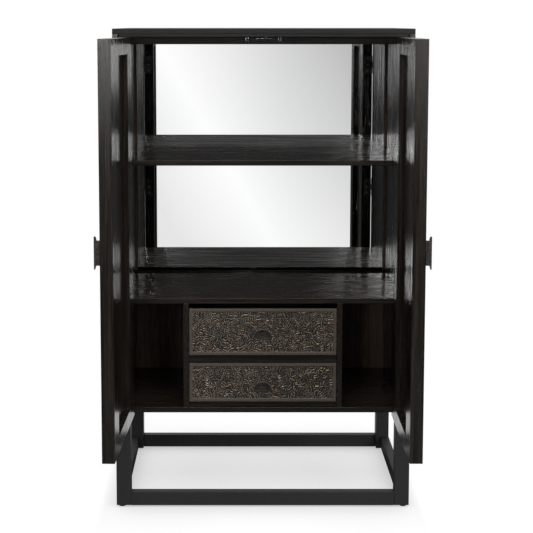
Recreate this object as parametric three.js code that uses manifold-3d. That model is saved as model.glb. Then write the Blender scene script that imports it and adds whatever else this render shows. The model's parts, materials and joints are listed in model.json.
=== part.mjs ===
// Bar armoire: a dark wooden case on an open steel base, with two hinged doors, a mirrored upper
// part, a shelf, a serving deck, two side cubbies and two drawers. Millimetres, +Z up.
// It is modelled with its front plane at Y = 0, facing -Y, its middle at X = 0 and the floor at
// Z = 0, and then moved so that the origin is under the middle of the whole armoire.
import * as THREE from 'three';
import { mergeVertices } from 'three/addons/utils/BufferGeometryUtils.js';
import Module from 'manifold-3d';

const wasm = await Module();
wasm.setup();

// Overall sizes
const caseWidth = 1016;
const caseDepth = 640;
const overallHeight = 1656;
const undersideHeight = 323;

// Clearances
const seam = 0.2;
const turnedSeam = 0.3;
const overcut = 2;

// Boards of the case
const boardThick = 18;
const postThick = 19;
const sideThick = 29;
const doorZone = 46;
const rearBoardThick = 12;
const rearRebateWidth = 14;
const topRailThick = 9;
const topRailSlot = 4;
const headerThick = 18;
const headerDrop = 26;
const grooveSetback = 31;
const grooveWidth = 4;
const grooveDepth = 2;

// Mirror, shelf and deck
const rearSpace = 59.8;
const mirrorThick = 6;
const mirrorSideGap = 9;
const shelfTop = 1207.5;
const deckTop = 727.5;
const channelWidth = 62;
const channelDepth = 10;

// Drawer bay
const bayWidth = 514;
const partitionThick = 19;
const railSetback = 12;
const bayFloorThick = 20;
const bayDividerThick = 28.5;
const lowerFrontHeight = 136;
const upperFrontHeight = 164;
const frontSideGap = 1.5;
const frontEdgeGap = 0.5;

// Drawers
const frontThick = 18;
const boxSideThick = 12;
const boxBottomThick = 6;
const boxBottomLift = 8;
const boxSideGap = 6;
const boxRearGap = 62;
const boxTopDrop = 26;
const slideClearance = 0.3;
const cupRadius = 31;
const cupHeight = 30;
const cupDepth = 10;
const cupWall = 2;
const lowerCupSill = 39;
const upperCupSill = 60;

// Doors
const doorThick = 40;
const doorSideGap = 1.5;
const doorTopGap = 1.5;
const doorBottomLift = 8;
const meetingGap = 3;
const stileWidth = 100;
const railWidth = 54;
const borderWidth = 11;
const panelThick = 22;
const leftDoorOpenDegrees = 92.4;
const rightDoorOpenDegrees = 89.6;

// Door pulls
const pullCentreHeight = 985;
const plateRadius = 50.5;
const plateThick = 3.5;
const standoffRadius = 38.5;
const standoffDepth = 14;

// Hinges
const hingesPerDoor = 3;
const hingeLength = 76;
const hingeEndInset = 90;
const leafWidth = 32;
const leafThick = 1.8;
const pinForward = 5.5;
const knuckleRadius = 4.75;
const pinRadius = 2.5;
const pinClearance = 0.3;
const knuckleGap = 0.4;

// Catch and its strike plates
const magnetOffset = 55;
const magnetWidth = 15;
const magnetHeight = 16.5;
const catchPlateThick = 1.8;
const catchPlateHeight = 12;
const catchBarWidth = 59;
const catchBarHeight = 8;
const catchBarDepth = 3;
const strikeWidth = 36;
const strikeHeight = 14;
const strikeThick = 1.5;
const strikeTopInset = 3.5;

// Steel base
const legSize = 50;
const tubeWall = 2;
const legCapThick = 3;
const screwHoleRadius = 3.5;
const baseRailHeight = 48;
const baseRailThick = 30;
const glideRadius = 13.5;
const glideHeight = 6;
const glideEdge = 1.5;
const glideInset = 19;
const stemRadius = 4;
const stemLength = 22;
const stemClearance = 0.3;

// Facets round a circle
const roundFacets = 32;
const smallFacets = 20;

// Places that follow from the sizes above
const halfWidth = caseWidth / 2;
const postInner = halfWidth - postThick;
const wallInner = halfWidth - sideThick;
const boardReach = wallInner - seam;
const topUnderside = overallHeight - boardThick;
const floorTop = undersideHeight + boardThick;
const topRailUnderside = topUnderside - topRailThick;
const rearBoardFront = caseDepth - rearBoardThick;
const innerBackRear = rearBoardFront - rearSpace;
const innerBackFront = innerBackRear - rearBoardThick;
const mirrorFront = innerBackFront - seam - mirrorThick;
const mirrorReach = wallInner - mirrorSideGap;
const deckUnderside = deckTop - boardThick;
const halfBay = bayWidth / 2;
const bayFloorTop = floorTop + seam + bayFloorThick;
const lowerFrontBottom = bayFloorTop + frontEdgeGap;
const bayDividerBottom = lowerFrontBottom + lowerFrontHeight + frontEdgeGap;
const bayDividerTop = bayDividerBottom + bayDividerThick;
const upperFrontBottom = bayDividerTop + frontEdgeGap;
const doorEdge = postInner - doorSideGap;
const doorBottom = undersideHeight + doorBottomLift;
const doorTop = topRailUnderside - doorTopGap;
const pinOffset = postInner - doorSideGap / 2;
const strikeRear = doorThick + turnedSeam + strikeThick;
const magnetFront = strikeRear + turnedSeam;

// Finishes
function finish(color, roughness, metalness) {
  return () => new THREE.MeshStandardMaterial({ color, roughness, metalness });
}

const ebonisedWood = finish(0x1c1917, 0.45, 0);
const carvedWood = finish(0x33302c, 0.55, 0);
const drawerBoxWood = finish(0x241f1b, 0.7, 0);
const blackSteel = finish(0x2a2a2b, 0.6, 0.5);
const darkBronze = finish(0x37332f, 0.45, 0.8);
const brightSteel = finish(0xa8a8a6, 0.3, 1);
const silvering = finish(0xe6e9ea, 0.03, 1);
const blackPlastic = finish(0x141414, 0.6, 0);

// Shapes
function block(low, high) {
  const size = high.map((value, i) => value - low[i]);
  const geometry = new THREE.BoxGeometry(...size);
  geometry.translate(...low.map((value, i) => value + size[i] / 2));
  return geometry;
}

// A block whose X runs between two distances from the middle, on the left (-1) or right (1)
function sideBlock(side, near, far, lowY, highY, lowZ, highZ) {
  const x = [side * near, side * far].sort((a, b) => a - b);
  return block([x[0], lowY, lowZ], [x[1], highY, highZ]);
}

function uprightPrism(points, lowZ, highZ) {
  const shape = new THREE.Shape(points.map(([x, y]) => new THREE.Vector2(x, y)));
  const geometry = new THREE.ExtrudeGeometry(shape, { depth: highZ - lowZ, bevelEnabled: false });
  geometry.translate(0, 0, lowZ);
  return geometry;
}

function uprightRod(x, y, lowZ, highZ, radius, facets) {
  const geometry = new THREE.CylinderGeometry(radius, radius, highZ - lowZ, facets);
  geometry.rotateX(Math.PI / 2);
  geometry.translate(x, y, (lowZ + highZ) / 2);
  return geometry;
}

// An outline in X and Z, drawn from the front and run back from lowY to highY
function frontPrism(shape, lowY, highY) {
  const geometry = new THREE.ExtrudeGeometry(shape, {
    depth: highY - lowY, bevelEnabled: false, curveSegments: roundFacets / 2,
  });
  geometry.rotateX(Math.PI / 2);
  geometry.translate(0, highY, 0);
  return geometry;
}

// Solids that are cut or joined
function solid(geometry) {
  const bare = geometry.clone();
  bare.deleteAttribute('normal');
  bare.deleteAttribute('uv');
  const merged = mergeVertices(bare);
  return new wasm.Manifold(new wasm.Mesh({
    numProp: 3,
    vertProperties: new Float32Array(merged.attributes.position.array),
    triVerts: new Uint32Array(merged.index.array),
  }));
}

function shaped(base, { joined = [], cut = [] }) {
  let body = solid(base);
  for (const geometry of joined) body = body.add(solid(geometry));
  for (const geometry of cut) body = body.subtract(solid(geometry));
  const mesh = body.getMesh();
  const geometry = new THREE.BufferGeometry();
  geometry.setAttribute('position', new THREE.BufferAttribute(mesh.vertProperties, mesh.numProp));
  geometry.setIndex(new THREE.BufferAttribute(mesh.triVerts, 1));
  geometry.computeVertexNormals();
  return geometry;
}

const armoire = new THREE.Group();

function piece(name, geometry, makeMaterial, parent = armoire) {
  const mesh = new THREE.Mesh(geometry, makeMaterial());
  mesh.name = name;
  parent.add(mesh);
  return mesh;
}

const sides = [['left', -1], ['right', 1]];

// Each door's hinges, by the height of their lower ends
function hingeBottoms() {
  const lowest = doorBottom + hingeEndInset;
  const highest = doorTop - hingeEndInset - hingeLength;
  const step = (highest - lowest) / (hingesPerDoor - 1);
  return Array.from({ length: hingesPerDoor }, (_, i) => lowest + i * step);
}

// Steel base: four square legs, four rails and four levelling glides
function legCorner(side, end) {
  const x = side * (halfWidth - legSize / 2);
  const y = end === 'front' ? legSize / 2 : caseDepth - legSize / 2;
  return [x, y];
}

function glideCentre(side, end) {
  const x = side * (halfWidth - glideInset);
  const y = end === 'front' ? glideInset : caseDepth - glideInset;
  return [x, y];
}

function leg(side, end) {
  const [x, y] = legCorner(side, end);
  const [glideX, glideY] = glideCentre(side, end);
  const reach = legSize / 2;
  const hollow = reach - tubeWall;
  const top = undersideHeight - seam;
  const tube = block([x - reach, y - reach, glideHeight], [x + reach, y + reach, top]);
  const inside = block(
    [x - hollow, y - hollow, glideHeight + legCapThick],
    [x + hollow, y + hollow, top - legCapThick],
  );
  const stemHole = uprightRod(
    glideX, glideY, glideHeight - overcut, glideHeight + legCapThick + overcut,
    stemRadius + stemClearance, smallFacets,
  );
  const screwHole = uprightRod(
    x, y, top - legCapThick - overcut, top + overcut, screwHoleRadius, smallFacets,
  );
  return shaped(tube, { cut: [inside, stemHole, screwHole] });
}

function glide(side, end) {
  const [x, y] = glideCentre(side, end);
  const top = glideHeight - turnedSeam;
  const outline = [
    [0, 0], [glideRadius - glideEdge, 0], [glideRadius, glideEdge], [glideRadius, top - glideEdge],
    [glideRadius - glideEdge, top], [stemRadius, top], [stemRadius, stemLength], [0, stemLength],
  ];
  const geometry = new THREE.LatheGeometry(
    outline.map(([r, z]) => new THREE.Vector2(r, z)), smallFacets,
  );
  geometry.rotateX(Math.PI / 2);
  geometry.translate(x, y, 0);
  return geometry;
}

// A rectangular tube with open ends, along X or Y
function baseRail(low, high, along) {
  const inLow = low.map((value, i) => (i === along ? value - overcut : value + tubeWall));
  const inHigh = high.map((value, i) => (i === along ? value + overcut : value - tubeWall));
  return shaped(block(low, high), { cut: [block(inLow, inHigh)] });
}

function addBase() {
  const railTop = glideHeight + baseRailHeight;
  const span = halfWidth - legSize - seam;
  for (const [word, side] of sides) {
    for (const end of ['front', 'rear']) {
      piece(`leg_${end}_${word}`, leg(side, end), blackSteel);
      piece(`glide_${end}_${word}`, glide(side, end), blackPlastic);
    }
    const x = [side * (halfWidth - baseRailThick), side * halfWidth].sort((a, b) => a - b);
    piece(`base_rail_${word}`, baseRail(
      [x[0], legSize + seam, glideHeight], [x[1], caseDepth - legSize - seam, railTop], 1,
    ), blackSteel);
  }
  piece('base_rail_front', baseRail(
    [-span, 0, glideHeight], [span, baseRailThick, railTop], 0,
  ), blackSteel);
  piece('base_rail_rear', baseRail(
    [-span, caseDepth - baseRailThick, glideHeight], [span, caseDepth, railTop], 0,
  ), blackSteel);
}

// Case: each side is thinner at the front, where the door shuts, and at the rear, for the back
function sidePanel(side) {
  const rearInner = halfWidth - sideThick + rearRebateWidth;
  const outline = [
    [halfWidth, 0], [halfWidth, caseDepth], [rearInner, caseDepth], [rearInner, rearBoardFront],
    [wallInner, rearBoardFront], [wallInner, doorZone], [postInner, doorZone], [postInner, 0],
  ];
  const board = uprightPrism(
    outline.map(([x, y]) => [side * x, y]), undersideHeight, topUnderside - seam,
  );
  const mortises = hingeBottoms().map((bottom) => sideBlock(
    side, postInner - overcut, postInner + leafThick + seam,
    -overcut, leafWidth + seam, bottom - seam, bottom + hingeLength + seam,
  ));
  return shaped(board, { cut: mortises });
}

function bottomPanel() {
  const board = block(
    [-boardReach, doorZone, undersideHeight], [boardReach, rearBoardFront - seam, floorTop],
  );
  const grooveFront = doorZone + grooveSetback;
  const groove = block(
    [-boardReach - overcut, grooveFront, floorTop - grooveDepth],
    [boardReach + overcut, grooveFront + grooveWidth, floorTop + overcut],
  );
  return shaped(board, { cut: [groove] });
}

// Thin rail under the top panel, with the drop that the doors shut against behind it
function header() {
  const railReach = postInner - topRailSlot;
  const step = doorZone - seam;
  const rear = doorZone + headerThick;
  const outline = [
    [-railReach, 0], [railReach, 0], [railReach, step], [boardReach, step], [boardReach, rear],
    [-boardReach, rear], [-boardReach, step], [-railReach, step],
  ];
  const rail = uprightPrism(outline, topRailUnderside, topUnderside - seam);
  const drop = block(
    [-boardReach, doorZone, topRailUnderside - headerDrop], [boardReach, rear, topUnderside - seam],
  );
  return shaped(rail, { joined: [drop] });
}

function deck() {
  const board = block(
    [-boardReach, doorZone, deckUnderside], [boardReach, innerBackFront - seam, deckTop],
  );
  const channel = block(
    [-boardReach - overcut, mirrorFront - channelWidth, deckTop - channelDepth],
    [boardReach + overcut, mirrorFront, deckTop + overcut],
  );
  return shaped(board, { cut: [channel] });
}

function addCase() {
  const backReach = halfWidth - sideThick + rearRebateWidth - seam;
  piece('top_panel', block(
    [-halfWidth, 0, topUnderside], [halfWidth, caseDepth, overallHeight],
  ), ebonisedWood);
  for (const [word, side] of sides) {
    piece(`${word}_side_panel`, sidePanel(side), ebonisedWood);
    piece(`${word}_partition`, sideBlock(
      side, halfBay, halfBay + partitionThick,
      doorZone, innerBackFront - seam, floorTop + seam, deckUnderside - seam,
    ), ebonisedWood);
  }
  piece('bottom_panel', bottomPanel(), ebonisedWood);
  piece('back_panel', block(
    [-backReach, rearBoardFront, undersideHeight], [backReach, caseDepth, topUnderside - seam],
  ), ebonisedWood);
  piece('inner_back', block(
    [-boardReach, innerBackFront, floorTop + seam], [boardReach, innerBackRear, topUnderside - seam],
  ), ebonisedWood);
  piece('header', header(), ebonisedWood);
  piece('shelf', block(
    [-boardReach, doorZone, shelfTop - boardThick], [boardReach, mirrorFront - seam, shelfTop],
  ), ebonisedWood);
  piece('deck', deck(), ebonisedWood);
  piece('mirror', block(
    [-mirrorReach, mirrorFront, deckTop + seam],
    [mirrorReach, mirrorFront + mirrorThick, topUnderside - seam],
  ), silvering);
  const railFront = doorZone + railSetback;
  piece('drawer_bay_floor', block(
    [-halfBay + seam, railFront, floorTop + seam], [halfBay - seam, innerBackFront - seam, bayFloorTop],
  ), ebonisedWood);
  piece('drawer_bay_divider', block(
    [-halfBay + seam, railFront, bayDividerBottom],
    [halfBay - seam, innerBackFront - seam, bayDividerTop],
  ), ebonisedWood);
}

// Double magnetic catch: a plate on the header with a magnet for each door and a bar between
function addCatch() {
  const rear = doorZone - seam;
  const top = topRailUnderside - seam;
  const middle = top - magnetHeight / 2;
  const plateReach = magnetOffset + magnetWidth / 2;
  const plate = block(
    [-plateReach, rear - catchPlateThick, middle - catchPlateHeight / 2],
    [plateReach, rear, middle + catchPlateHeight / 2],
  );
  const bar = block(
    [-catchBarWidth / 2, rear - catchBarDepth, middle - catchBarHeight / 2],
    [catchBarWidth / 2, rear, middle + catchBarHeight / 2],
  );
  const magnets = sides.map(([, side]) => sideBlock(
    side, magnetOffset - magnetWidth / 2, magnetOffset + magnetWidth / 2,
    magnetFront, rear, top - magnetHeight, top,
  ));
  piece('magnetic_catch', shaped(plate, { joined: [bar, ...magnets] }), brightSteel);
}

// Drawers: a carved front with a half-moon finger cup, on a plain four-board box
function halfMoon(sill, inset) {
  const radius = cupRadius - inset;
  const low = sill + inset;
  const high = sill + cupHeight - inset;
  const shape = new THREE.Shape();
  shape.moveTo(-radius, low);
  shape.lineTo(radius, low);
  shape.absellipse(0, low, radius, high - low, 0, Math.PI, false, 0);
  return shape;
}

function drawerCup(sill) {
  const front = doorZone;
  const rear = front + cupDepth;
  const body = frontPrism(halfMoon(sill, seam), front, rear);
  const hollow = frontPrism(halfMoon(sill, seam + cupWall), front - overcut, rear - cupWall);
  return shaped(body, { cut: [hollow] });
}

function drawerFront(bottom, height, sill) {
  const reach = halfBay - frontSideGap;
  const board = block([-reach, doorZone, bottom], [reach, doorZone + frontThick, bottom + height]);
  const recess = frontPrism(halfMoon(sill, 0), doorZone - overcut, doorZone + cupDepth + seam);
  return shaped(board, { cut: [recess] });
}

function addDrawer(name, bottom, height, runnerTop, cupSill) {
  const reach = halfBay - boxSideGap;
  const inner = reach - boxSideThick;
  const front = doorZone + frontThick + seam;
  const rear = innerBackFront - boxRearGap;
  const low = runnerTop + slideClearance;
  const high = bottom + height - boxTopDrop;
  const sill = bottom + cupSill;
  piece(`${name}_front`, drawerFront(bottom, height, sill), carvedWood);
  piece(`${name}_finger_cup`, drawerCup(sill), darkBronze);
  for (const [word, side] of sides) {
    piece(`${name}_${word}_side`, sideBlock(side, inner, reach, front, rear, low, high), drawerBoxWood);
  }
  piece(`${name}_back`, block(
    [-inner + seam, rear - boxSideThick, low], [inner - seam, rear, high],
  ), drawerBoxWood);
  piece(`${name}_bottom`, block(
    [-inner + seam, front, low + boxBottomLift],
    [inner - seam, rear - boxSideThick - seam, low + boxBottomLift + boxBottomThick],
  ), drawerBoxWood);
}

// Hinges: the case leaf holds the pin in its two end knuckles, the door leaf turns between them
function knuckle(side, lowZ, highZ) {
  return uprightRod(side * pinOffset, -pinForward, lowZ, highZ, knuckleRadius, smallFacets);
}

function caseLeaf(side, bottom) {
  const third = hingeLength / 3;
  const top = bottom + hingeLength;
  const plate = sideBlock(
    side, postInner, postInner + leafThick, 0, leafWidth, bottom, top,
  );
  const ends = [[bottom, bottom + third], [top - third, top]];
  const tabs = ends.map(([low, high]) => sideBlock(
    side, postInner, postInner + leafThick, -pinForward, overcut, low, high,
  ));
  const knuckles = ends.map(([low, high]) => knuckle(side, low, high));
  const pin = uprightRod(side * pinOffset, -pinForward, bottom, top, pinRadius, smallFacets);
  return shaped(plate, { joined: [...tabs, ...knuckles, pin] });
}

function doorLeaf(side, bottom) {
  const third = hingeLength / 3;
  const low = bottom + third + knuckleGap;
  const high = bottom + hingeLength - third - knuckleGap;
  const plate = sideBlock(
    side, doorEdge - leafThick, doorEdge, 0, leafWidth, bottom, bottom + hingeLength,
  );
  const tab = sideBlock(side, doorEdge - leafThick, doorEdge, -pinForward, overcut, low, high);
  const bore = uprightRod(
    side * pinOffset, -pinForward, low - overcut, high + overcut, pinRadius + pinClearance, smallFacets,
  );
  return shaped(plate, { joined: [tab, knuckle(side, low, high)], cut: [bore] });
}

// Doors, drawn shut and then turned on their hinge pins
function doorFrame(side) {
  const near = meetingGap / 2;
  const ring = sideBlock(side, near, doorEdge, 0, doorThick, doorBottom, doorTop);
  const opening = sideBlock(
    side, near + stileWidth, doorEdge - stileWidth,
    -overcut, doorThick + overcut, doorBottom + railWidth, doorTop - railWidth,
  );
  const rebate = sideBlock(
    side, near + borderWidth, doorEdge - borderWidth,
    -overcut, panelThick, doorBottom + borderWidth, doorTop - borderWidth,
  );
  const mortises = hingeBottoms().map((bottom) => sideBlock(
    side, doorEdge - leafThick - turnedSeam, doorEdge + overcut,
    -overcut, leafWidth + turnedSeam, bottom - turnedSeam, bottom + hingeLength + turnedSeam,
  ));
  return shaped(ring, { cut: [opening, rebate, ...mortises] });
}

function doorPanel(side) {
  const inset = borderWidth + turnedSeam;
  return sideBlock(
    side, meetingGap / 2 + inset, doorEdge - inset,
    0, panelThick - turnedSeam, doorBottom + inset, doorTop - inset,
  );
}

// Half a round medallion on a smaller half-round block; the two doors' pulls meet in the middle
function doorPull(side) {
  const edge = side * (meetingGap / 2);
  const halfDisc = (radius, lowY, highY) => {
    const shape = new THREE.Shape();
    const start = side > 0 ? -Math.PI / 2 : Math.PI / 2;
    shape.moveTo(edge, pullCentreHeight - side * radius);
    shape.absarc(edge, pullCentreHeight, radius, start, start + Math.PI, false);
    return frontPrism(shape, lowY, highY);
  };
  const rear = -turnedSeam;
  const middle = rear - standoffDepth;
  const plate = halfDisc(plateRadius, middle - plateThick, middle);
  return shaped(plate, { joined: [halfDisc(standoffRadius, middle - plateThick / 2, rear)] });
}

function strikePlate(side) {
  const top = doorTop - strikeTopInset;
  return sideBlock(
    side, magnetOffset - strikeWidth / 2, magnetOffset + strikeWidth / 2,
    doorThick + turnedSeam, strikeRear, top - strikeHeight, top,
  );
}

function addDoor(word, side, openDegrees) {
  const pivot = new THREE.Group();
  pivot.position.set(side * pinOffset, -pinForward, 0);
  pivot.rotation.z = side * THREE.MathUtils.degToRad(openDegrees);
  armoire.add(pivot);
  const add = (name, geometry, makeMaterial) => {
    const mesh = piece(`${word}_door_${name}`, geometry, makeMaterial, pivot);
    mesh.position.set(-side * pinOffset, pinForward, 0);
  };
  add('frame', doorFrame(side), ebonisedWood);
  add('carved_panel', doorPanel(side), carvedWood);
  add('pull', doorPull(side), darkBronze);
  add('strike_plate', strikePlate(side), brightSteel);
  hingeBottoms().forEach((bottom, i) => {
    add(`hinge_leaf_${i + 1}`, doorLeaf(side, bottom), darkBronze);
    piece(`${word}_case_hinge_leaf_${i + 1}`, caseLeaf(side, bottom), darkBronze);
  });
}

addBase();
addCase();
addCatch();
addDrawer('lower_drawer', lowerFrontBottom, lowerFrontHeight, bayFloorTop, lowerCupSill);
addDrawer('upper_drawer', upperFrontBottom, upperFrontHeight, bayDividerTop, upperCupSill);
addDoor('left', -1, leftDoorOpenDegrees);
addDoor('right', 1, rightDoorOpenDegrees);

// The origin is on the floor, under the middle of the space that the open armoire takes
const bounds = new THREE.Box3().setFromObject(armoire, true);
const middle = bounds.getCenter(new THREE.Vector3());
armoire.position.set(-middle.x, -middle.y, -bounds.min.z);

const part = new THREE.Group();
part.name = 'bar_armoire';
part.add(armoire);
export default part;
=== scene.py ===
# %% [markdown]
# # A bar armoire with carved fronts
# The object is a tall, near-black cabinet on an open steel base, with its two doors open.
# Its exact solids come ready made, in metres, and they stay where they are.
# This lesson gives them eased edges, real finishes, carving, a studio and a camera.

import json
import math

import bmesh
import bpy
import numpy as np
from mathutils import Matrix, Vector


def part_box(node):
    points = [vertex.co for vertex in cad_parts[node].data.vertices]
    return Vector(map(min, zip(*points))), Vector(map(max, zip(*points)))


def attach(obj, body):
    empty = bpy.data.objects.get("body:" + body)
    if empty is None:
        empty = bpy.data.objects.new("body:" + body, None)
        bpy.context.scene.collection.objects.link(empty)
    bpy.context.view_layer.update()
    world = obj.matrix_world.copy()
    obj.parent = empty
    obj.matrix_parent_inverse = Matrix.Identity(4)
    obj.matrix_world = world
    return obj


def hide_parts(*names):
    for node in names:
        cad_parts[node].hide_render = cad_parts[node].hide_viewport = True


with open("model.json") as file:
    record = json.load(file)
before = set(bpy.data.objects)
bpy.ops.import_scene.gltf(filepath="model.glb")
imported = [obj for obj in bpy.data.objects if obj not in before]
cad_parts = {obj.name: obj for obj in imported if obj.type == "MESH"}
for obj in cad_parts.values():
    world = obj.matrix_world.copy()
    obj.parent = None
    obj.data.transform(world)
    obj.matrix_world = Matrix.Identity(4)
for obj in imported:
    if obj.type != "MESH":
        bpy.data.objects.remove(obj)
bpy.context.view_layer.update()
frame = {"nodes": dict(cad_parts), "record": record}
MM = 0.001
solids = frame["nodes"]
record = frame["record"]

# %% [markdown]
# ## Which body and finish each solid has
# The record names the moving bodies and the finish of each solid.
# Two dictionaries keep those facts, so that no later cell has to repeat a list of names.

# %% Look up bodies and finishes
body_of = {
    node: body
    for body, members in record["behaviour"]["bodies"].items()
    for node in members
}
slot_of = {row["node"]: row["material_slot"] for row in record["subparts"]}
joint_of = {joint["child"]: joint for joint in record["behaviour"]["joints"]}
print(sorted(set(slot_of.values())))

# %% [markdown]
# ## Small helpers for finishes
# Colours are written as a web page writes them, and the renderer wants linear numbers.
# One function turns the first into the second, and one adds a node with its settings and links.

# %% Helpers for finishes
def linear(hex_code):
    """A colour such as "1d1916" as the linear numbers that a shader takes."""
    values = [int(hex_code[i : i + 2], 16) / 255 for i in (0, 2, 4)]
    return (*[v / 12.92 if v < 0.04045 else ((v + 0.055) / 1.055) ** 2.4 for v in values], 1)


def add(tree, kind, inputs=None, stops=None, **settings):
    """Adds a shader node, with its settings, its inputs or links, and a ramp's stops."""
    node = tree.nodes.new("ShaderNode" + kind)
    for name, value in settings.items():
        setattr(node, name, value)
    for name, value in (inputs or {}).items():
        if isinstance(value, bpy.types.NodeSocket):
            tree.links.new(value, node.inputs[name])
        else:
            node.inputs[name].default_value = value
    for i, (place, hex_code) in enumerate(stops or []):
        stop = node.color_ramp.elements[i] if i < 2 else node.color_ramp.elements.new(place)
        stop.position = place
        stop.color = linear(hex_code)
    return node


def new_finish(name):
    """An empty material with its output node, ready for a shader."""
    material = bpy.data.materials.new(name)
    material.use_nodes = True
    material.node_tree.nodes.clear()
    return material, material.node_tree


def per_metre(*sizes_mm):
    """How often patterns of these sizes repeat in one metre."""
    return tuple(1 / (size * MM) for size in sizes_mm)


print("Middle grey in linear light:", round(linear("808080")[0], 3))

# %% [markdown]
# ## Wood grain
# Hardwood has fine pores and broad streaks, and both run along the board. Photographed grain
# could be laid on it, but two noises stretched along each board never repeat and need no seams.
# Real pores are a few tenths of a millimetre wide, which no pixel here would show.
# The grain is therefore drawn as wide as it needs to show.

# %% Wood grain
PORE_MM = 1.8
STREAK_MM = 10
GRAIN_STRETCH = 30  # how many times longer than wide a pore or a streak is


def wood_grain(tree, along):
    """The pores, the broad streaks and the two multiplied, for grain along one axis."""
    place = add(tree, "TexCoord").outputs["Object"]
    fine, broad = (
        add(tree, "Mapping", {
            "Vector": place,
            "Scale": per_metre(*[size * (GRAIN_STRETCH if axis == along else 1) for axis in "XYZ"]),
        }).outputs["Vector"]
        for size in (PORE_MM, STREAK_MM)
    )
    pores = add(tree, "TexNoise", {"Vector": fine, "Scale": 1, "Detail": 3, "Roughness": 0.6})
    streaks = add(tree, "TexNoise", {"Vector": broad, "Scale": 1, "Detail": 4, "Roughness": 0.55})
    pores, streaks = pores.outputs["Fac"], streaks.outputs["Fac"]
    tone = add(tree, "Math", {0: pores, 1: streaks}, operation="MULTIPLY").outputs["Value"]
    return pores, streaks, tone


print("Pores:", PORE_MM, "mm wide, streaks:", STREAK_MM, "mm wide")

# %% [markdown]
# ## Ebonised wood
# The case is hardwood, stained black and lacquered to a semi-gloss. Its top and header are
# satin, and the drawer boxes and the boards that face a wall are stained but not polished.
# Each could have a recipe of its own, but one recipe that takes the colours and the gloss
# keeps them alike. It is made for each axis, because boards run in all three directions.

# %% Ebonised wood
PORE_DEEP_MM = 0.3


def stained_wood(name, along, dark, light, gloss, shine=0.5):
    """Black-stained wood with its grain along one axis; gloss is the roughness range."""
    material, tree = new_finish(name)
    pores, streaks, tone = wood_grain(tree, along)
    shade = add(tree, "ValToRGB", {"Fac": tone}, stops=[(0.12, dark), (0.42, light)])
    sheen = add(tree, "MapRange", {
        "Value": streaks, "From Min": 0.3, "From Max": 0.7, "To Min": gloss[0], "To Max": gloss[1],
    })
    relief = add(tree, "Bump", {"Height": pores, "Strength": 0.25, "Distance": PORE_DEEP_MM * MM})
    shader = add(tree, "BsdfPrincipled", {
        "Base Color": shade.outputs["Color"], "Roughness": sheen.outputs["Result"],
        "Normal": relief.outputs["Normal"], "IOR": 1.5, "Specular IOR Level": shine,
    })
    add(tree, "OutputMaterial", {"Surface": shader.outputs["BSDF"]})
    return material


ebonised = {
    axis: stained_wood(f"Polished ebonised wood along {axis}", axis, "131110", "2f2822", (0.12, 0.32))
    for axis in "XYZ"
}
satin_ebonised = {
    axis: stained_wood(f"Satin ebonised wood along {axis}", axis, "0b0a09", "221e1b", (0.46, 0.62), 0.36)
    for axis in "XYZ"
}
unpolished = {
    axis: stained_wood(f"Unpolished stained wood along {axis}", axis, "2b1f17", "6e5542", (0.45, 0.6))
    for axis in "XYZ"
}
drawer_wood = {
    axis: stained_wood(f"Stained drawer wood along {axis}", axis, "120d0b", "2a201a", (0.5, 0.7))
    for axis in "XYZ"
}
print("Wood finishes:", 4 * len(ebonised))

# %% [markdown]
# ## Metals, mirror and plastic
# The base is steel tube with a matt black powder coat, which has a faint orange-peel skin.
# The pulls and hinges are dark bronze, the catch is bright steel, and the glides are plastic.
# The mirror is plain silvered glass, and all that a clean mirror shows is a trace of haze.
# One recipe of soft spots serves all but the mirror, as each of them varies over patches of
# its own size. It sets colour, gloss and skin together, so that they agree with each other.

# %% Metals, mirror and plastic
HAZE_MM = 500


def mottled(name, dark, light, size_mm, gloss, metallic, bump_mm, coat=0.0):
    """A finish whose colour, gloss and skin all vary over patches of one size."""
    material, tree = new_finish(name)
    place = add(tree, "TexCoord").outputs["Object"]
    spots = add(tree, "TexNoise", {
        "Vector": place, "Scale": 1 / (size_mm * MM), "Detail": 3, "Roughness": 0.5,
    })
    shade = add(tree, "ValToRGB", {"Fac": spots.outputs["Fac"]}, stops=[(0.35, dark), (0.65, light)])
    sheen = add(tree, "MapRange", {
        "Value": spots.outputs["Fac"], "From Min": 0.3, "From Max": 0.7,
        "To Min": gloss[0], "To Max": gloss[1],
    })
    relief = add(tree, "Bump", {
        "Height": spots.outputs["Fac"], "Strength": 0.5, "Distance": bump_mm * MM,
    })
    shader = add(tree, "BsdfPrincipled", {
        "Base Color": shade.outputs["Color"], "Roughness": sheen.outputs["Result"],
        "Normal": relief.outputs["Normal"], "Metallic": metallic, "Coat Weight": coat,
    })
    add(tree, "OutputMaterial", {"Surface": shader.outputs["BSDF"]})
    return material


powder_coat = mottled("Black powder coat", "29292b", "333335", 2.5, (0.5, 0.62), 0.0, 0.1)
bronze = mottled("Dark bronze", "454240", "625d59", 9, (0.32, 0.5), 0.85, 0.2)
bright_steel = mottled("Bright steel", "a9a9a6", "c9c9c6", 3, (0.22, 0.36), 1.0, 0.02)
silvered, tree = new_finish("Silvered glass")
place = add(tree, "TexCoord").outputs["Object"]
haze = add(tree, "TexNoise", {"Vector": place, "Scale": 1 / (HAZE_MM * MM), "Detail": 0})
shade = add(tree, "ValToRGB", {"Fac": haze.outputs["Fac"]}, stops=[(0.3, "f7f8f8"), (0.7, "fdfdfd")])
shader = add(tree, "BsdfPrincipled", {
    "Base Color": shade.outputs["Color"], "Metallic": 1.0, "Roughness": 0.0,
})
add(tree, "OutputMaterial", {"Surface": shader.outputs["BSDF"]})
nylon = mottled("Black nylon", "121212", "1c1c1c", 1.5, (0.5, 0.65), 0.0, 0.05)
print("Other finishes:", [m.name for m in (powder_coat, bronze, bright_steel, silvered, nylon)])

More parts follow.
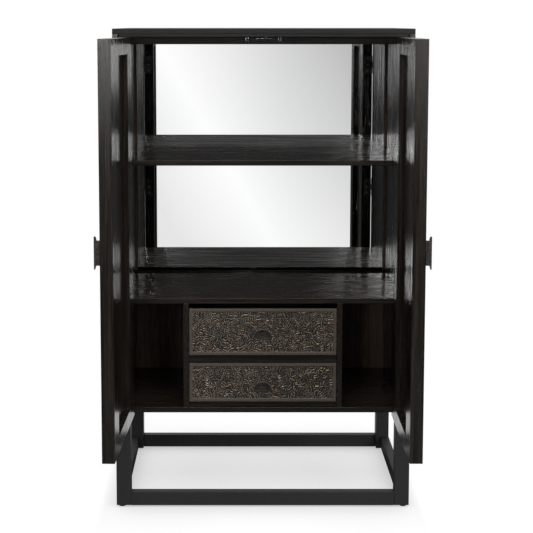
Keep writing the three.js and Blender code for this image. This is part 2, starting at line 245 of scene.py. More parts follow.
# %% [markdown]
# ## Carved wood
# The drawer fronts and door panels are covered with short gouge strokes, stained black.
# The high points are rubbed back, so that a warm bronze tone shows on them.
# The carving stores its height, its plain rim and its flat reverse on the mesh.
# The finish reads all three, and the reverse shows the wood's own grain.

# %% Carved wood
FACTOR, FIRST, SECOND, MIXED = 0, 6, 7, 2  # a colour Mix node's sockets
WEAR_MM = 9


def carved_finish():
    """Dark in the cuts, grey-brown on the high points, with bronze where they are rubbed most."""
    material, tree = new_finish("Carved and rubbed wood")
    height = add(tree, "Attribute", attribute_name="carved_height").outputs["Fac"]
    rim = add(tree, "Attribute", attribute_name="plain_rim").outputs["Fac"]
    reverse = add(tree, "Attribute", attribute_name="plain_reverse").outputs["Fac"]
    place = add(tree, "TexCoord").outputs["Object"]
    wear = add(tree, "TexNoise", {"Vector": place, "Scale": 1 / (WEAR_MM * MM), "Detail": 3})
    stain = add(tree, "ValToRGB", {"Fac": height},
                stops=[(0.15, "0f0d0b"), (0.45, "4d4640"), (0.85, "a1978a")])
    rubbed = add(tree, "ValToRGB", {"Fac": height},
                 stops=[(0.15, "120e0b"), (0.45, "63503f"), (0.85, "cfa77a")])
    patchy = add(tree, "MapRange", {"Value": wear.outputs["Fac"], "From Min": 0.5, "From Max": 0.62})
    field = add(tree, "Mix", {
        FACTOR: patchy.outputs["Result"], FIRST: stain.outputs["Color"], SECOND: rubbed.outputs["Color"],
    }, data_type="RGBA")
    plain = add(tree, "ValToRGB", {"Fac": wear.outputs["Fac"]}, stops=[(0.35, "4d453e"), (0.65, "5b5249")])
    shade = add(tree, "Mix", {
        FACTOR: rim, FIRST: field.outputs[MIXED], SECOND: plain.outputs["Color"],
    }, data_type="RGBA")
    tone = wood_grain(tree, "Z")[2]
    bare = add(tree, "ValToRGB", {"Fac": tone}, stops=[(0.12, "0b0908"), (0.42, "322922")])
    shade = add(tree, "Mix", {
        FACTOR: reverse, FIRST: shade.outputs[MIXED], SECOND: bare.outputs["Color"],
    }, data_type="RGBA")
    glint = add(tree, "MapRange", {
        "Value": height, "From Min": 0.4, "From Max": 0.8, "To Min": 0.0, "To Max": 0.6,
    })
    sheen = add(tree, "MapRange", {
        "Value": height, "From Min": 0.1, "From Max": 0.8, "To Min": 0.6, "To Max": 0.3,
    })
    polish = add(tree, "MapRange", {
        "Value": reverse, "To Min": sheen.outputs["Result"], "To Max": 0.22,
    })
    shader = add(tree, "BsdfPrincipled", {
        "Base Color": shade.outputs[MIXED], "Roughness": polish.outputs["Result"],
        "Metallic": glint.outputs["Result"], "IOR": 1.5,
    })
    add(tree, "OutputMaterial", {"Surface": shader.outputs["BSDF"]})
    return material


carved_wood = carved_finish()
print("Finish:", carved_wood.name)

# %% [markdown]
# ## Pieces that move with a body
# A real door carries its panel and its pull with it, and a drawer its front.
# Each new piece could be parented by hand, but one helper names its body, its slot and the
# solids that it stands for, so that nothing is left behind when a joint moves.

# %% A helper for pieces
def place_piece(name, bm, body, finish, replaced=()):
    """Turns a bmesh into a piece that rides on a body and may stand for solids."""
    mesh = bpy.data.meshes.new(name)
    bm.to_mesh(mesh)
    bm.free()
    piece = bpy.data.objects.new(name, mesh)
    bpy.context.scene.collection.objects.link(piece)
    mesh.materials.append(finish)
    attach(piece, body)
    if replaced:
        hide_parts(*replaced)
    return piece


print("Bodies:", sorted(set(body_of.values())))

# %% [markdown]
# ## Boards with eased edges
# A cabinet maker takes the sharpness off each edge, and that thin rounding catches the light.
# A board could be a new box, but a copy of its own solid keeps every slot and hinge seat.
# The copy's loose triangles are joined into flat faces first, or no edge could be rounded.
# Only long edges are rounded, so that small seats stay crisp.

# %% Ease the edges of a solid
JOIN_MM = 0.01  # points nearer to each other than this become one
FLAT_DEGREES = 1  # faces that turn less than this become one
SHARP_DEGREES = 30  # edges that turn more than this are rounded


def eased_copy(node, finish, radius_mm, shortest_mm, steps=2):
    """A copy of a solid with its long edges rounded."""
    bm = bmesh.new()
    bm.from_mesh(solids[node].data)
    bmesh.ops.remove_doubles(bm, verts=bm.verts, dist=JOIN_MM * MM)
    bmesh.ops.dissolve_limit(
        bm, angle_limit=math.radians(FLAT_DEGREES), verts=bm.verts, edges=bm.edges,
    )
    long_edges = [
        edge for edge in bm.edges
        if edge.is_manifold and edge.calc_length() > shortest_mm * MM
        and edge.calc_face_angle() > math.radians(SHARP_DEGREES)
    ]
    bmesh.ops.bevel(
        bm, geom=long_edges, offset=radius_mm * MM, offset_type="OFFSET", affect="EDGES",
        segments=steps, profile=0.5, material=-1, clamp_overlap=True,
    )
    for face in bm.faces:
        face.smooth = True
    piece = place_piece(f"eased_{node}", bm, body_of[node], finish, [node])
    even = piece.modifiers.new("Even shading", "WEIGHTED_NORMAL")
    even.keep_sharp = True
    return piece


print("Edges sharper than", SHARP_DEGREES, "degrees are rounded")

# %% [markdown]
# ## The case, the doors' frames and the drawer boxes
# The grain follows the longest side of each board, as it does in real joinery.
# The steel tube has rounder corners than the boards, because it is folded, not planed.
# One loop picks finish and rounding by the solid's slot, where a list of boards would be long.

# %% Ease the boards and tubes
SATIN_BOARDS = ("top_panel", "header")
UNPOLISHED_BOARDS = ("inner_back", "back_panel")
BOARD_EASE_MM, SATIN_EASE_MM, TUBE_EASE_MM = 0.8, 1.6, 2
BOARD_EDGE_MM, DRAWER_EDGE_MM, TUBE_EDGE_MM = 12, 5, 20


def longest_axis(node):
    """The letter of the axis that a solid is longest along."""
    low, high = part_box(node)
    sizes = high - low
    return "XYZ"[max(range(3), key=lambda i: sizes[i])]


for node, slot in slot_of.items():
    grain = longest_axis(node)
    if node in SATIN_BOARDS:
        eased_copy(node, satin_ebonised[grain], SATIN_EASE_MM, BOARD_EDGE_MM)
    elif node in UNPOLISHED_BOARDS:
        eased_copy(node, unpolished[grain], BOARD_EASE_MM, BOARD_EDGE_MM)
    elif slot == "ebonised_wood":
        eased_copy(node, ebonised[grain], BOARD_EASE_MM, BOARD_EDGE_MM)
    elif slot == "drawer_box_wood":
        eased_copy(node, drawer_wood[grain], BOARD_EASE_MM, DRAWER_EDGE_MM)
    elif slot == "black_steel":
        eased_copy(node, powder_coat, TUBE_EASE_MM, TUBE_EDGE_MM, steps=3)

# %% [markdown]
# ## Metal and plastic pieces that keep their solids
# Hinges, catch, strike plates, mirror and glides already have their true shape.
# They only need a finish in place of the plain one that they came with.
# The two door pulls stand out from the doors, so their edges are eased like those of the boards.

# %% Finish the remaining solids
PULL_EASE_MM, PULL_EDGE_MM = 0.6, 3
kept_finish = {
    "dark_bronze": bronze,
    "bright_steel": bright_steel,
    "silvered_glass": silvered,
    "black_plastic": nylon,
}
kept = [
    node for node, slot in slot_of.items() if slot in kept_finish and not node.endswith("_door_pull")
]
for node in kept:
    finish = nylon if node == "magnetic_catch" else kept_finish[slot_of[node]]
    for place in solids[node].material_slots:
        place.material = finish
for body in ("left_door", "right_door"):
    eased_copy(f"{body}_pull", bronze, PULL_EASE_MM, PULL_EDGE_MM)
print("Shapes kept as they are:", len(kept))

# %% [markdown]
# ## A door's turn
# The frame shows the doors open, where their solids are no longer square to the axes.
# Whatever is made for a door is made as if the door were shut, and then turned with it.

# %% The turn of a door
def opening_turn(body):
    """The turn from shut to rest about a door's hinge; nothing for a body that has no hinge."""
    joint = joint_of.get(body, {})
    if "range_deg" not in joint:
        return Matrix()
    pin = Matrix.Translation(Vector(joint["pos_m"]))
    angle = -math.radians(joint["range_deg"][0])
    return pin @ Matrix.Rotation(angle, 4, Vector(joint["axis"])) @ pin.inverted()


def shut_points(node):
    """The corner points of a solid, measured with its door shut."""
    back = opening_turn(body_of[node]).inverted()
    return [back @ vert.co for vert in solids[node].data.vertices]


def box_of(points):
    """The lowest and the highest corner of the box around some points."""
    low = Vector([min(point[i] for point in points) for i in range(3)])
    high = Vector([max(point[i] for point in points) for i in range(3)])
    return low, high


print("Hinged bodies:", [body for body, joint in joint_of.items() if "range_deg" in joint])

# %% [markdown]
# ## The bright parts of the catch
# The catch has a dark body with a bright bar, and each of its two magnets shows two pole plates.
# They are a fraction of a millimetre thick, too thin to be solids of their own. So they are
# flat cubes laid on the catch, half sunk in it, and no gap shows from any side.

# %% Pole plates
MAGNET_WIDE_MM = 15
POLE_MM = (2.4, 14, 0.15)  # width, height and how far it stands out
POLE_OFFSET_MM = 4  # from the middle of the magnet
BAR_MM = (54, 1.6)  # width and height
BAR_DROP_MM = 6  # from the top of the catch


def pole_plates():
    """Two upright plates on each magnet's face and a bar between the magnets, in one mesh."""
    low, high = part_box("magnetic_catch")
    wide, tall, proud = (size * MM for size in POLE_MM)
    bm = bmesh.new()
    strip = Matrix.Diagonal((wide, 2 * proud, tall, 1))
    for magnet in (low.x + MAGNET_WIDE_MM / 2 * MM, high.x - MAGNET_WIDE_MM / 2 * MM):
        for offset in (-POLE_OFFSET_MM * MM, POLE_OFFSET_MM * MM):
            middle = Vector((magnet + offset, low.y, (low.z + high.z) / 2))
            bmesh.ops.create_cube(bm, size=1, matrix=Matrix.Translation(middle) @ strip)
    wide, tall = (size * MM for size in BAR_MM)
    strip = Matrix.Diagonal((wide, 2 * proud, tall, 1))
    centre = (low.x + high.x) / 2
    bar_front = min(
        vert.co.y for vert in solids["magnetic_catch"].data.vertices if abs(vert.co.x - centre) < wide
    )
    middle = Vector((centre, bar_front, high.z - BAR_DROP_MM * MM))
    bmesh.ops.create_cube(bm, size=1, matrix=Matrix.Translation(middle) @ strip)
    return place_piece("catch_pole_plates", bm, body_of["magnetic_catch"], bright_steel)


print(pole_plates().name)

# %% [markdown]
# ## The screws of the hinges
# Each hinge leaf is held by three domed screws, whose heads stand a hair proud of it.
# A cone with its tip cut off passes for a dome at this size, and a slot would not show.
# The heads are found on the leaf's own flat, with the door shut, and turned with the door.

# %% Screws
SCREW_RADIUS_MM = 3.6
SCREW_PROUD_MM = 0.25
SCREW_ROUND = 24  # points around a head
SCREW_DOME_SHARE = 0.8  # of the radius, left at the top of a head
SCREW_DEPTH_SHARE = 0.6  # of the leaf's depth
SCREW_SHARES = (0.17, 0.5, 0.83)  # of the leaf's height
LEAF_TALL_MM = 60  # only the leaf itself has a flat as tall as this


def leaf_screws(node, facing):
    """Three screw heads on the flat of a hinge leaf; facing is -1 or 1 along X, door shut."""
    points = shut_points(node)
    low, high = box_of(points)
    levels = {}
    for point in points:
        levels.setdefault(round(point.x / MM, 2), []).append(point)
    boxes = {level: box_of(members) for level, members in levels.items()}
    flats = [level for level, (below, above) in boxes.items() if above.z - below.z > LEAF_TALL_MM * MM]
    flat = max(flats, key=lambda level: level * facing)
    flat_low, flat_high = boxes[flat]
    proud = SCREW_PROUD_MM * MM
    bm = bmesh.new()
    for share in SCREW_SHARES:
        middle = Vector((
            flat * MM, flat_low.y + SCREW_DEPTH_SHARE * (flat_high.y - flat_low.y),
            low.z + share * (high.z - low.z),
        ))
        sideways = Matrix.Rotation(facing * math.pi / 2, 4, "Y")
        bmesh.ops.create_cone(
            bm, cap_ends=True, segments=SCREW_ROUND, radius1=SCREW_RADIUS_MM * MM,
            radius2=SCREW_DOME_SHARE * SCREW_RADIUS_MM * MM, depth=2 * proud,
            matrix=Matrix.Translation(middle) @ sideways,
        )
    bmesh.ops.transform(bm, matrix=opening_turn(body_of[node]), verts=bm.verts)
    return place_piece(f"{node}_screws", bm, body_of[node], bright_steel)


for node in slot_of:
    if "_hinge_leaf_" in node:
        inward = 1 if node.startswith("left") else -1
        leaf_screws(node, inward if "_case_" in node else -inward)
print("Screwed leaves:", sum("_hinge_leaf_" in node for node in slot_of))

# %% [markdown]
# ## The carver's pattern
# The strokes lie in small patches, and each patch has its own direction, as gouge work has.
# The patches are the nearest-point regions of a jittered lattice, which NumPy works out at once.
# A bump would give no true shadows in cuts this deep, so the pattern is a real height,
# from 0, the deepest cut, to 1, the untouched face.

# %% The pattern of strokes
PATCH_MM = 12
PATCH_EDGE_MM = 2.2
PATCH_SPREAD_SHARES = (0.15, 0.7)  # a patch's least place in its cell, and what chance adds
STROKE_MM = 6.6
STROKE_SHARES = (0.7, 0.7)  # a stroke's least width, and what chance adds
BEND_PER_MM = 0.03
RIDGE_POWER = 1.4  # over 1 makes the ridges narrower than the cuts
CUT_SHARES = (0.1, 0.9)  # the height left in a cut, and what a ridge adds
SEAM_SHARES = (0.3, 0.7)  # the height left where patches meet, and what their middle adds
LEVEL_SHARES = (0.55, 0.45)  # the height of the lowest patch, and what the highest adds
HASH_STEPS = (127.1, 311.7, 74.7)  # any large numbers with no common measure would do
HASH_SCALE = 43758.5453


def hashed(i, j, salt):
    """A repeatable random number from 0 to 1 for each lattice point."""
    step_i, step_j, step_salt = HASH_STEPS
    value = np.sin(i * step_i + j * step_j + salt * step_salt) * HASH_SCALE
    return value - np.floor(value)


def strokes(x, z, salt):
    """The height of the carving at points x and z, in millimetres."""
    start, spread = PATCH_SPREAD_SHARES
    column, row = np.floor(x / PATCH_MM), np.floor(z / PATCH_MM)
    nearest = np.full(x.shape, np.inf)
    second = np.full(x.shape, np.inf)
    best = [np.zeros(x.shape) for _ in range(4)]
    for di in (-1, 0, 1):
        for dj in (-1, 0, 1):
            i, j = column + di, row + dj
            px = (i + start + spread * hashed(i, j, salt)) * PATCH_MM
            pz = (j + start + spread * hashed(i, j, salt + 1)) * PATCH_MM
            gap = np.hypot(x - px, z - pz)
            closer = gap < nearest
            second = np.where(closer, nearest, np.minimum(second, gap))
            nearest = np.where(closer, gap, nearest)
            for k, value in enumerate((px, pz, hashed(i, j, salt + 2), hashed(i, j, salt + 3))):
                best[k] = np.where(closer, value, best[k])
    px, pz, turn, level = best
    angle = math.pi * turn
    across = (x - px) * np.cos(angle) + (z - pz) * np.sin(angle)
    along = -(x - px) * np.sin(angle) + (z - pz) * np.cos(angle)
    bend = BEND_PER_MM * along**2 * np.where(level > 0.5, 1, -1)
    pitch = STROKE_MM * (STROKE_SHARES[0] + STROKE_SHARES[1] * hashed(px, pz, salt + 5))
    ridge = (0.5 + 0.5 * np.cos(2 * math.pi * ((across + bend) / pitch + level))) ** RIDGE_POWER
    seam = SEAM_SHARES[0] + SEAM_SHARES[1] * np.clip((second - nearest) / PATCH_EDGE_MM, 0, 1)
    patch = LEVEL_SHARES[0] + LEVEL_SHARES[1] * hashed(px, pz, salt)
    return (CUT_SHARES[0] + CUT_SHARES[1] * ridge * seam) * patch


print("Patches:", PATCH_MM, "mm, strokes:", STROKE_MM, "mm")

# %% [markdown]
# ## The half-moon opening
# A finger cup is let into each drawer front, so the carved face needs a half-moon hole.
# A boolean would spoil the even grid. Instead the faces inside the curve are dropped, and the
# new border slides onto the curve, and is then extruded back to give the hole its wall.

# %% Cut a half-moon
MOON_DEPTH_MM = 10.2
MOON_NEAR_SHARE = 1.2  # of the radius; a border edge within it belongs to the hole


def half_moon_gap(x, z, moon):
    """Under zero inside a half-moon that stands on its flat side."""
    centre, sill, radius, rise = moon
    round_part = np.hypot((x - centre) / radius, (z - sill) / rise) - 1
    return np.maximum(round_part * rise, sill - z)


def cut_half_moon(bm, moon, depth):
    """Opens a half-moon in a flat grid and gives it walls and a floor."""
    centre, sill, radius, rise = moon
    inside = [
        face for face in bm.faces
        if half_moon_gap(face.calc_center_median().x, face.calc_center_median().z, moon) < 0
    ]
    bmesh.ops.delete(bm, geom=inside, context="FACES")
    rim = [
        edge for edge in bm.edges
        if edge.is_boundary and abs(edge.verts[0].co.x - centre) < radius * MOON_NEAR_SHARE
        and abs(edge.verts[0].co.z - sill - rise / 2) < rise
    ]
    for vert in {vert for edge in rim for vert in edge.verts}:
        dx, dz = vert.co.x - centre, vert.co.z - sill
        scale = math.hypot(dx / radius, dz / rise)
        if dz < (1 - scale) * rise or dz <= 0:
            vert.co.x = centre + max(-radius, min(radius, dx))
            vert.co.z = sill
        else:
            vert.co.x, vert.co.z = centre + dx / scale, sill + dz / scale
    wall = bmesh.ops.extrude_edge_only(bm, edges=rim)["geom"]
    back = [part for part in wall if isinstance(part, bmesh.types.BMVert)]
    bmesh.ops.translate(bm, vec=(0, depth, 0), verts=back)
    floor = [part for part in wall if isinstance(part, bmesh.types.BMEdge) and part.is_boundary]
    bmesh.ops.edgeloop_fill(bm, edges=floor)


print("Half-moon depth:", MOON_DEPTH_MM, "mm")

# %% [markdown]
# ## A carved face
# The flat face is pushed in by the pattern, inside a plain rim that has a rounded outer edge.
# Moving every point with NumPy takes a moment, where a modelled stroke would take hours.
# Height, rim and reverse are stored with the points, because the finish colours by them.

# %% Push in the carving
CARVE_DEPTH_MM = 3.2
RIM_MM = 10
RIM_SLOPE_MM = 2.5  # the carving reaches its full depth over this width
EDGE_ROUND_MM = 0.8
MOON_RIM_MM = 0.4  # the plain rim around the half-moon
FACE_SLACK_MM = 0.01  # a point this near to the face's plane is on the face
SIDE_HEIGHT = 0.1  # the finish takes a board's sides and back for cuts of this height


def push_in_carving(piece, whole, salt, moon):
    """Moves the face's points back by the pattern and stores their height."""
    mesh = piece.data
    points = np.empty(len(mesh.vertices) * 3, np.float32)
    mesh.vertices.foreach_get("co", points)
    points = points.reshape(-1, 3).astype(float)
    low, high = (np.array(corner) / MM for corner in whole)
    x, y, z = (points / MM).T
    on_face = np.abs(y - low[1]) < FACE_SLACK_MM
    rim = np.minimum.reduce([x - low[0], high[0] - x, z - low[2], high[2] - z])
    inner = rim - RIM_MM
    if moon:
        inner = np.minimum(inner, half_moon_gap(x * MM, z * MM, moon) / MM - MOON_RIM_MM)
    blend = np.clip(inner / RIM_SLOPE_MM, 0, 1)
    height = 1 - blend + blend * strokes(x, z, salt)
    fall = EDGE_ROUND_MM * np.clip(1 - rim / EDGE_ROUND_MM, 0, 1) ** 2
    depth = (1 - height) * CARVE_DEPTH_MM + fall
    points[:, 1] += np.where(on_face, depth, 0) * MM
    mesh.vertices.foreach_set("co", points.astype(np.float32).ravel())
    for name, values in {
        "carved_height": np.where(on_face, height * blend, SIDE_HEIGHT),
        "plain_rim": np.where(on_face, 1 - blend, 0),
        "plain_reverse": np.where(on_face, 0, 1),
    }.items():
        stored = mesh.attributes.new(name, "FLOAT", "POINT")
        stored.data.foreach_set("value", values.astype(np.float32))
    mesh.update()


print("Carving depth:", CARVE_DEPTH_MM, "mm")

# %% [markdown]
# ## A carved board
# A fine grid becomes the board's face, and its border is extruded back to make a closed board.
# It is built upright and facing the viewer, and a door's board is turned only at the end.

# %% Build a carved board
SMOOTH_FACING = 0.5  # a face that looks forward by more than this is shaded smooth


def carved_board(name, node, low, high, step_mm, salt, turn=Matrix(), whole=None, moon=None):
    """A carved board that fills a box and faces -Y, turned afterwards to where it stands.

    whole is the box of the full pattern where the board is one half of it.
    """
    whole = whole or (low, high)
    size = high - low
    bm = bmesh.new()
    bmesh.ops.create_grid(
        bm, x_segments=round(size.x / MM / step_mm), y_segments=round(size.z / MM / step_mm), size=0.5,
    )
    middle = Vector(((low.x + high.x) / 2, low.y, (low.z + high.z) / 2))
    stand_up = Matrix.Rotation(math.pi / 2, 4, "X")
    stretch = Matrix.Diagonal((size.x, 1, size.z, 1))
    bmesh.ops.transform(
        bm, matrix=Matrix.Translation(middle) @ stretch @ stand_up, verts=bm.verts,
    )
    border = [edge for edge in bm.edges if edge.is_boundary]
    if moon:
        cut_half_moon(bm, moon, MOON_DEPTH_MM * MM)
    wall = bmesh.ops.extrude_edge_only(bm, edges=border)["geom"]
    rear = [part for part in wall if isinstance(part, bmesh.types.BMVert)]
    bmesh.ops.translate(bm, vec=(0, size.y, 0), verts=rear)
    bmesh.ops.edgeloop_fill(bm, edges=[
        part for part in wall if isinstance(part, bmesh.types.BMEdge) and part.is_boundary
    ])
    bmesh.ops.recalc_face_normals(bm, faces=bm.faces)
    for face in bm.faces:
        face.smooth = face.normal.y < -SMOOTH_FACING
    piece = place_piece(name, bm, body_of[node], carved_wood, [node])
    push_in_carving(piece, whole, salt, moon)
    piece.data.transform(turn)
    return piece


print("Plain rim:", RIM_MM, "mm")

# %% [markdown]
# ## The drawer fronts
# Each front has a finger cup, and the opening in the carving is cut to that cup's own box.
# The grid is finer here than on the doors, because the fronts face the camera.

# %% Carve the drawer fronts
FRONT_GRID_MM = 1.25
CUP_SLACK_MM = 0.2
FRONT_SALTS = {"lower_drawer": 0, "upper_drawer": 10}  # each board has a pattern of its own
for drawer, salt in FRONT_SALTS.items():
    node = f"{drawer}_front"
    low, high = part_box(node)
    cup_low, cup_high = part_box(f"{drawer}_finger_cup")
    slack = CUP_SLACK_MM * MM
    moon = (
        (cup_low.x + cup_high.x) / 2, cup_low.z - slack,
        (cup_high.x - cup_low.x) / 2 + slack, cup_high.z - cup_low.z + 2 * slack,
    )
    board = carved_board(f"{drawer}_carved_front", node, low, high, FRONT_GRID_MM, salt, moon=moon)
    print(board.name, len(board.data.polygons), "faces")

# %% [markdown]
# ## The door panels
# A panel is carved while its door is shut, where it is square to the axes, and then turned
# about the hinge to where the open door stands. Each is made as two halves of one pattern,
# because a single mesh that fine would be too heavy.

# %% Carve the door panels
PANEL_GRID_MM = 2
PANEL_SALTS = {"left_door": 40, "right_door": 50}
for body, salt in PANEL_SALTS.items():
    node = f"{body}_carved_panel"
    low, high = box_of(shut_points(node))
    middle = (low.z + high.z) / 2
    halves = {"lower": (low.z, middle), "upper": (middle, high.z)}
    for word, (bottom, top) in halves.items():
        board = carved_board(
            f"{body}_{word}_carving", node,
            Vector((low.x, low.y, bottom)), Vector((high.x, high.y, top)),
            PANEL_GRID_MM, salt, opening_turn(body), (low, high),
        )
        print(board.name, len(board.data.polygons), "faces")

# %% [markdown]
# ## What each ray sees in the studio
# The photograph has a white sweep, and soft light from large panels above and in front.
# A real white room could be modelled, but black gloss would mirror all of it as pale grey.
# So each kind of ray is told what it sees. The camera and the mirror see white, and the
# rays that light the wood see a dim room, so that the wood keeps its own colour.

# %% What each ray sees
BACKDROP_LEVEL = 0.8  # how bright the space behind the case looks in matt and satin faces


def white_or_dim(tree, white, glossy, diffuse, depth):
    """The white level where the camera looks, also in a mirror or glass, and the dim ones elsewhere."""
    rays = add(tree, "LightPath").outputs
    early = add(tree, "Math", {0: rays["Ray Depth"], 1: depth + 0.5}, operation="LESS_THAN")
    sharp = add(tree, "Math", {0: rays["Is Singular Ray"], 1: early.outputs["Value"]},
                operation="MULTIPLY").outputs["Value"]
    level = add(tree, "MapRange", {
        "Value": rays["Is Diffuse Ray"], "To Min": glossy, "To Max": diffuse,
    }).outputs["Result"]
    for seen in (rays["Is Camera Ray"], rays["Is Transmission Ray"], sharp):
        level = add(tree, "MapRange", {
            "Value": seen, "To Min": level, "To Max": white,
        }).outputs["Result"]
    return level


print("Backdrop level:", BACKDROP_LEVEL)

# %% [markdown]
# ## The floor
# The sweep is a sheet of white paper. Lamps would never make it evenly white, so it glows by
# itself, and its soft shadow comes from how much of the sky each point sees.
# A lamp's own shadow could be used, but the photograph has no edge that it would match.
# It shows none beside the base either, so the shadow fades out there.

# %% Floor
FLOOR_WIDE_M = 40
FLOOR_FRONT_M = 3  # how far the sheet reaches in front
SHADE_M = 0.45  # how near a thing has to be to darken the floor
SHADE_GLOW = 0.46
OPEN_GLOW = 0.96
OPEN_SHARE = 0.98  # a point that sees this share of the sky is in no shade
BESIDE_M = 0.1  # how far beside the base the shadow fades out
FLOOR_LEVEL = 0.01  # how bright matt and satin faces see the sheet under the case
BACKDROP_FROM_M = (0.45, 0.75)  # how far back it turns as pale as the backdrop for them


def studio_floor(base_reach):
    """A pale floor that keeps shadows and reads as white where none falls."""
    material, tree = new_finish("White sweep")
    open_share = add(tree, "AmbientOcclusion", {"Distance": SHADE_M}, samples=8).outputs["AO"]
    place = add(tree, "TexCoord").outputs["Object"]
    across = add(tree, "SeparateXYZ", {"Vector": place}).outputs["X"]
    off_centre = add(tree, "Math", {0: across}, operation="ABSOLUTE").outputs["Value"]
    beside = add(tree, "MapRange", {
        "Value": off_centre, "From Min": base_reach, "From Max": base_reach + BESIDE_M,
    }).outputs["Result"]
    open_share = add(tree, "Math", {0: open_share, 1: beside}, operation="MAXIMUM").outputs["Value"]
    white = add(tree, "MapRange", {
        "Value": open_share, "From Min": 0.0, "From Max": OPEN_SHARE,
        "To Min": SHADE_GLOW, "To Max": OPEN_GLOW,
    }).outputs["Result"]
    behind = add(tree, "SeparateXYZ", {"Vector": place}).outputs["Y"]
    reflected = add(tree, "MapRange", {
        "Value": behind, "From Min": BACKDROP_FROM_M[0], "From Max": BACKDROP_FROM_M[1],
        "To Min": FLOOR_LEVEL, "To Max": BACKDROP_LEVEL,
    }).outputs["Result"]
    glow = white_or_dim(tree, white, reflected, 0.0, depth=1)
    matt = add(tree, "BsdfDiffuse", {"Color": linear("5a5a5a")})
    light = add(tree, "Emission", {"Color": linear("ffffff"), "Strength": glow})
    both = add(tree, "AddShader", {0: matt.outputs["BSDF"], 1: light.outputs["Emission"]})
    add(tree, "OutputMaterial", {"Surface": both.outputs["Shader"]})
    return material


bm = bmesh.new()
bmesh.ops.create_grid(bm, x_segments=1, y_segments=1, size=FLOOR_WIDE_M / 2)
bmesh.ops.translate(bm, vec=(0, FLOOR_WIDE_M / 2 - FLOOR_FRONT_M, 0), verts=bm.verts)
sweep = bpy.data.meshes.new("studio_floor")
bm.to_mesh(sweep)
bm.free()
floor = bpy.data.objects.new("studio_floor", sweep)
bpy.context.scene.collection.objects.link(floor)
sweep.materials.append(studio_floor(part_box("base_rail_front")[1].x))
print("Floor", FLOOR_WIDE_M, "m wide")

# %% [markdown]
# ## The room around
# The mirror shows the room in front, a white card that is brightest along one slanting line.
# A picture of a room could be used, but a few ramps along the ray's direction are enough.
# Two of them rise and fall across the card, and others part the front from the backdrop.

# %% World
AMBIENT_LEVEL = 0.42  # the light on the wood from every side above the horizon
HORIZON_FROM = (-0.02, 0.0)  # the slopes of a ray at which it starts and is in full
FRONT_LEVEL = 0.035  # how bright matt and satin faces see the room in front
BACKDROP_RISE = 0.15  # the slope of a ray towards the back at which the backdrop is in full
CARD_SLANT = (0.866, 0, 0.5)  # the way across the card's bright line
CARD_FROM = (-0.124, -0.062, 0.068)  # where the card starts, is brightest and ends on it
CARD_LEVEL = (0.81, 1.02, 0.52)  # how bright it is at those three

world = bpy.data.worlds.new("White studio")
world.use_nodes = True
bpy.context.scene.world = world
tree = world.node_tree
tree.nodes.clear()
direction = add(tree, "TexCoord").outputs["Generated"]
parts = add(tree, "SeparateXYZ", {"Vector": direction}).outputs
away = parts["Y"]
reflected = add(tree, "MapRange", {
    "Value": away, "From Min": 0.0, "From Max": BACKDROP_RISE,
    "To Min": FRONT_LEVEL, "To Max": BACKDROP_LEVEL,
}).outputs["Result"]
ambient = add(tree, "MapRange", {
    "Value": parts["Z"], "From Min": HORIZON_FROM[0], "From Max": HORIZON_FROM[1],
    "To Min": 0.0, "To Max": AMBIENT_LEVEL,
}).outputs["Result"]
slant = add(tree, "VectorMath", {0: direction, 1: CARD_SLANT}, operation="DOT_PRODUCT").outputs["Value"]
rise = add(tree, "MapRange", {
    "Value": slant, "From Min": CARD_FROM[0], "From Max": CARD_FROM[1],
    "To Min": CARD_LEVEL[0], "To Max": CARD_LEVEL[1],
}).outputs["Result"]
fall = add(tree, "MapRange", {
    "Value": slant, "From Min": CARD_FROM[1], "From Max": CARD_FROM[2],
    "To Min": CARD_LEVEL[1], "To Max": CARD_LEVEL[2],
}).outputs["Result"]
card = add(tree, "Math", {0: rise, 1: fall}, operation="MINIMUM").outputs["Value"]
seen = add(tree, "MapRange", {
    "Value": add(tree, "LightPath").outputs["Is Camera Ray"], "To Min": card, "To Max": 1.0,
}).outputs["Result"]
shown = white_or_dim(tree, seen, reflected, ambient, depth=2)
sky = add(tree, "Background", {"Color": linear("ffffff"), "Strength": shown})
add(tree, "OutputWorld", {"Surface": sky.outputs["Background"]})
print("World:", world.name)

# %% [markdown]
# ## Lamps
# A wide panel hangs above, and another stands at each side, the right one the stronger.
# Four strips far in front give the polished doors and walls their upright highlights.
# Area lamps are used because their size is what makes a shadow's edge soft.

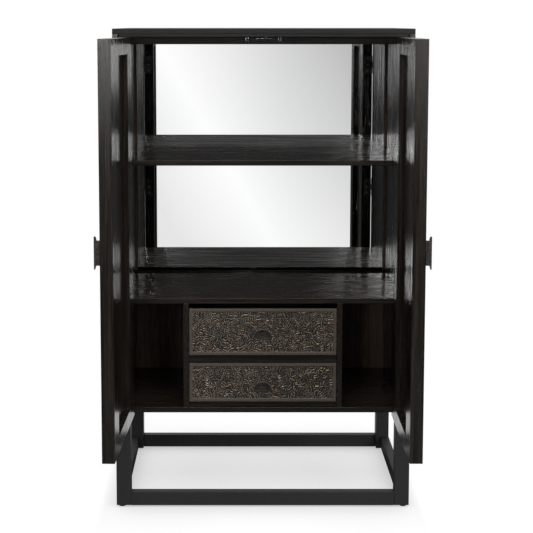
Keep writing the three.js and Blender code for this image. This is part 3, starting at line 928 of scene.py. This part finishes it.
# %% Lamps
LAMPS_AIM_M = 0.9
LAMPS = {  # place and size in metres, then watts
    "Top panel": ((0.0, -2.0, 3.4), 1.6, 60),
    "Left high strip": ((-1.3, -6.0, 2.1), 0.6, 24),
    "Right high strip": ((1.3, -6.0, 2.1), 0.6, 6),
    "Left low strip": ((-1.6, -6.0, 1.5), 0.8, 6.5),
    "Right low strip": ((1.6, -6.0, 1.5), 0.8, 4.5),
    "Left panel": ((-3.0, -3.0, 1.8), 1.6, 4),
    "Right panel": ((3.0, -3.0, 1.8), 1.6, 54),
}
middle_of_case = Vector((0, 0, LAMPS_AIM_M))
for name, (place, size, watts) in LAMPS.items():
    lamp = bpy.data.lights.new(name, "AREA")
    lamp.size = size
    lamp.energy = watts
    holder = bpy.data.objects.new(name, lamp)
    bpy.context.scene.collection.objects.link(holder)
    holder.location = place
    holder.rotation_euler = (middle_of_case - holder.location).to_track_quat("-Z", "Y").to_euler()
print("Lamps:", len(bpy.data.lights))

# %% [markdown]
# ## The camera
# The photograph was taken a little above the deck, a hand's width left of the middle, and
# 5.9 degrees down. It is cropped off centre, and the lens shift makes the same crop here.

# %% Camera
IMAGE_PX = 533
FOCAL_PX = 1257.385
CENTRE_PX = (236.916, 153.957)
PITCH_DEGREES = 5.913
SENSOR_MM = 36
FROM_CASE_FRONT = Vector((-0.08981, -4.22486, 1.67217))

top_low, top_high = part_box("top_panel")
case_front = Vector(((top_low.x + top_high.x) / 2, top_low.y, 0))
camera_data = bpy.data.cameras.new("Camera")
camera_data.sensor_width = SENSOR_MM
camera_data.lens = FOCAL_PX / IMAGE_PX * SENSOR_MM
camera_data.shift_x = (IMAGE_PX / 2 - CENTRE_PX[0]) / IMAGE_PX
camera_data.shift_y = (CENTRE_PX[1] - IMAGE_PX / 2) / IMAGE_PX
camera = bpy.data.objects.new("Camera", camera_data)
bpy.context.scene.collection.objects.link(camera)
camera.location = case_front + FROM_CASE_FRONT
camera.rotation_euler = (math.radians(90 - PITCH_DEGREES), 0, 0)
bpy.context.scene.camera = camera
bpy.context.scene.view_settings.view_transform = "Standard"
print("Lens", round(camera_data.lens, 2), "mm")
